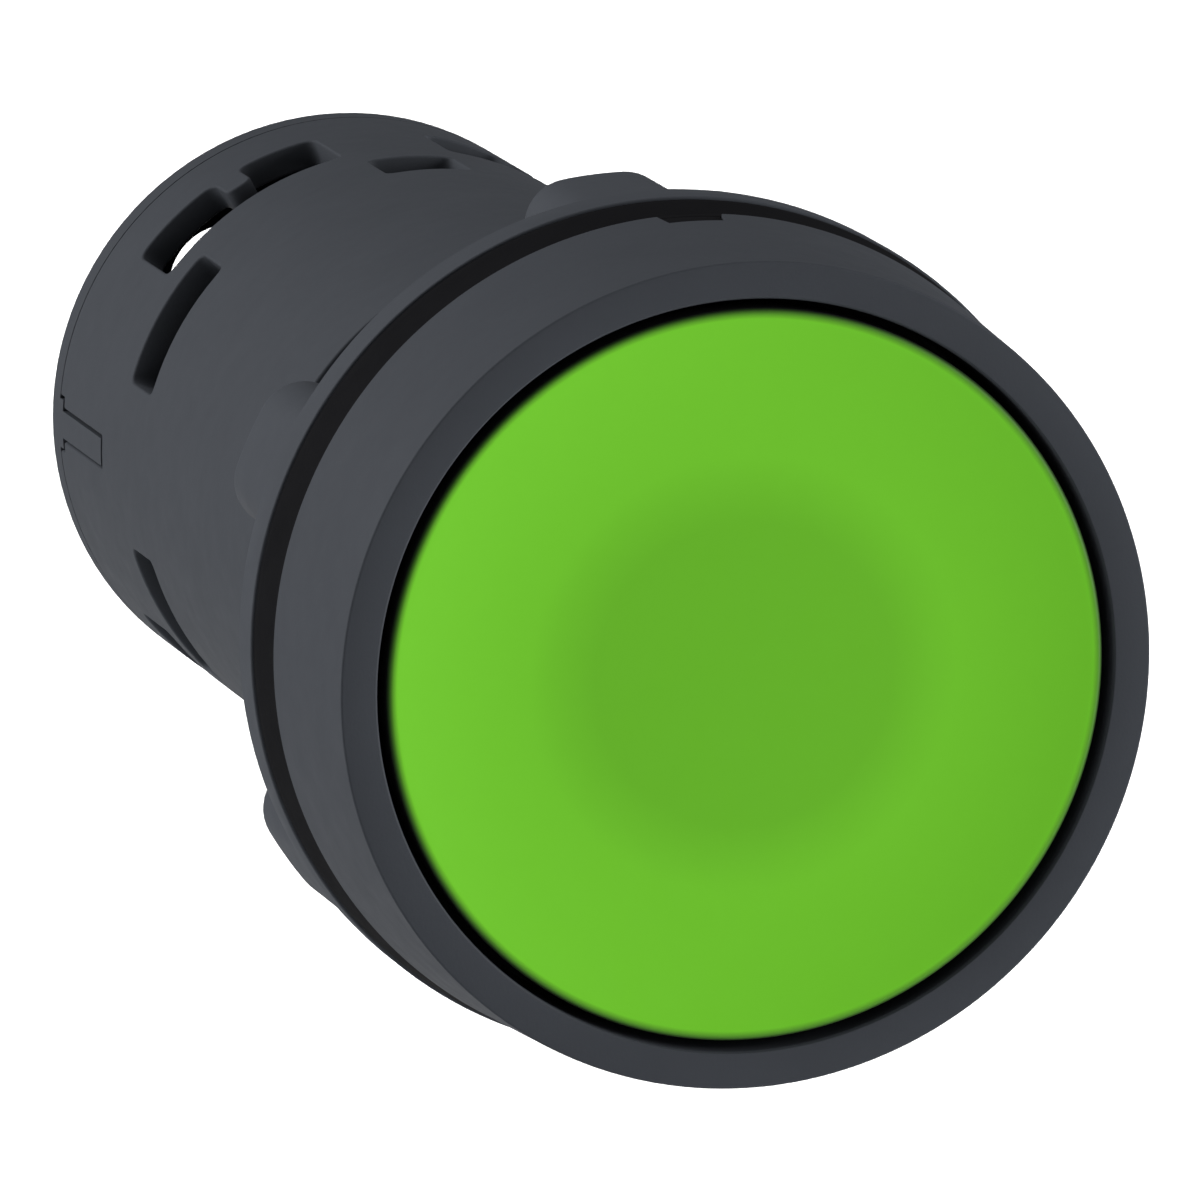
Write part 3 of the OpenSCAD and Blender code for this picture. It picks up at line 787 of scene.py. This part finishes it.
def coil(name, body, centre, radius, wire_r, turns, rear, front):
    """Compression spring with closed ends."""
    steps, sides = 48, 12
    length = front - rear
    end_rise = 2.12 * wire_r
    bm = bmesh.new()
    loops = []
    for i in range(turns * steps + 1):
        turn = i / steps
        if turn <= 1:
            height = wire_r + end_rise * turn
        elif turn >= turns - 1:
            height = length - wire_r - end_rise * (turns - turn)
        else:
            height = wire_r + end_rise + (turn - 1) * (length - 2 * wire_r - 2 * end_rise) / (turns - 2)
        loop = []
        for k in range(sides):
            around = 2 * math.pi * k / sides
            r = radius + wire_r * math.cos(around)
            ahead = rear + height + wire_r * math.sin(around)
            loop.append(bm.verts.new(at(r, 360 * turn, ahead) + centre))
        loops.append(loop)
    bridge_loops(bm, loops, closed=False)
    bm.faces.new(loops[0])
    bm.faces.new(loops[-1])
    piece = finish_mesh(name + "_coil", bm, body, drawn_steel, [name])
    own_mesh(piece)


def springs():
    """Return spring round the plunger, and the small contact spring beside the axis."""
    turns = 6
    wire_r, contact_wire_r = 0.45, 0.2
    coil("return_spring", "body", Vector((0, 0, 0)), spring_outer_r - wire_r, wire_r, turns,
         spring_rear, spring_front)
    low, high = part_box("contact_spring")
    centre = Vector(((low.x + high.x) / 2, 0, 0))
    contact_r = (high.x - low.x) / MM / 2 - contact_wire_r
    coil("contact_spring", "pusher", centre, contact_r, contact_wire_r, turns,
         -high.y / MM, -low.y / MM)


# ---- CAD nodes that keep their shape ----

def dress(node, material, bevel):
    """Gives a CAD node its material and small rounded edges of a width in mm."""
    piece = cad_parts[node]
    piece.data.materials.clear()
    piece.data.materials.append(material)
    modifier = piece.modifiers.new("edges", "BEVEL")
    modifier.width = bevel * MM
    modifier.segments = 2
    modifier.limit_method = "ANGLE"
    modifier.angle_limit = math.radians(40)
    modifier.harden_normals = False


# ---- All pieces ----

for node, material, slot, bevel in (
        ("rear_cover", moulded_plastic, "moulded_plastic", 0.08),
        ("plunger", inner_plastic, "inner_plastic", 0.1),
        ("contact_block", inner_plastic, "inner_plastic", 0.06),
        ("bridge_carrier", inner_plastic, "inner_plastic", 0.1),
        ("stem_seal", gasket_rubber, "rubber", 0.05),
        ("seal_retainer", zinc_plate, "zinc_steel", 0.05),
        ("contact_bridge", rolled_brass, "brass", 0.05),
        ("bridge_tips", contact_silver, "silver", 0.04),
        ("fixed_tips", contact_silver, "silver", 0.04),
        ("terminal_upper", rolled_brass, "brass", 0.08),
        ("terminal_lower", rolled_brass, "brass", 0.08),
        ("clamp_washer_upper", zinc_plate, "zinc_steel", 0.06),
        ("clamp_washer_lower", zinc_plate, "zinc_steel", 0.06),
        ("terminal_screw_upper", zinc_plate, "zinc_steel", 0.02),
        ("terminal_screw_lower", zinc_plate, "zinc_steel", 0.02)):
    dress(node, material, bevel)

cap()
head()
gasket()
nut()
housing_shell()
springs()


# ---- Floor, light and camera ----

def floor():
    """Plain pale floor, well below the button."""
    size, drop = 6.0, 0.25
    bm = bmesh.new()
    corners = [bm.verts.new((x * size, y * size, -drop)) for x, y in ((-1, -1), (1, -1), (1, 1), (-1, 1))]
    bm.faces.new(corners)
    mesh = bpy.data.meshes.new("floor")
    bm.to_mesh(mesh)
    bm.free()
    plane = bpy.data.objects.new("floor", mesh)
    bpy.context.scene.collection.objects.link(plane)
    material, _, _, shader = new_material("pale_floor", 0.9)
    shader.inputs["Base Color"].default_value = (0.93, 0.93, 0.93, 1)
    mesh.materials.append(material)


def look_at(location, target):
    """Rotation that points an object's -Z from location at target, with +Z up in view."""
    return (Vector(target) - Vector(location)).to_track_quat("-Z", "Y").to_euler()


def softbox(name, location, target, width, height, power, spread=180):
    """Rectangular lamp in metres and watts, aimed at a target; spread is in degrees."""
    light = bpy.data.lights.new(name, "AREA")
    light.shape = "RECTANGLE"
    light.size, light.size_y = width, height
    light.energy = power
    light.spread = math.radians(spread)
    lamp = bpy.data.objects.new(name, light)
    lamp.location = location
    lamp.rotation_euler = look_at(location, target)
    bpy.context.scene.collection.objects.link(lamp)


def lights():
    """Three softboxes round the button, one over the floor seen behind it, and a dim white surround."""
    middle = (0, 0.015, 0)
    side = 0.7
    softbox("left_softbox", (-0.75, 0.35, 0.4), middle, side, side, 9.2)
    softbox("right_softbox", (0.9, -0.4, 0.1), middle, side, side, 11.8)
    softbox("top_softbox", (-0.2, 0.1, 0.85), middle, side, side, 1.7)
    softbox("floor_softbox", (0.38, 1.35, 0.35), (0.38, 1.35, -0.25), 0.5, 1.1, 3.4, 80)
    world = bpy.data.worlds.new("studio")
    bpy.context.scene.world = world
    world.use_nodes = True
    background = world.node_tree.nodes["Background"]
    background.inputs["Color"].default_value = (1, 1, 1, 1)
    background.inputs["Strength"].default_value = 0.2


def camera():
    """Long lens half a metre away, to the left of the button's axis, above it and looking down a little."""
    place = Vector((-142.54, -493.41, 100.81)) * MM
    view = Vector((0.26796, 0.94432, -0.19096)).normalized()
    right = view.cross(Vector((0, 0, 1))).normalized()
    up = right.cross(view)
    data = bpy.data.cameras.new("camera")
    data.lens = 463.3
    data.sensor_width = 36
    data.clip_end = 20
    cam = bpy.data.objects.new("camera", data)
    cam.location = place
    cam.rotation_euler = Matrix((right, up, -view)).transposed().to_euler()
    bpy.context.scene.collection.objects.link(cam)
    bpy.context.scene.camera = cam


floor()
lights()
camera()
bpy.context.scene.view_settings.view_transform = "Standard"
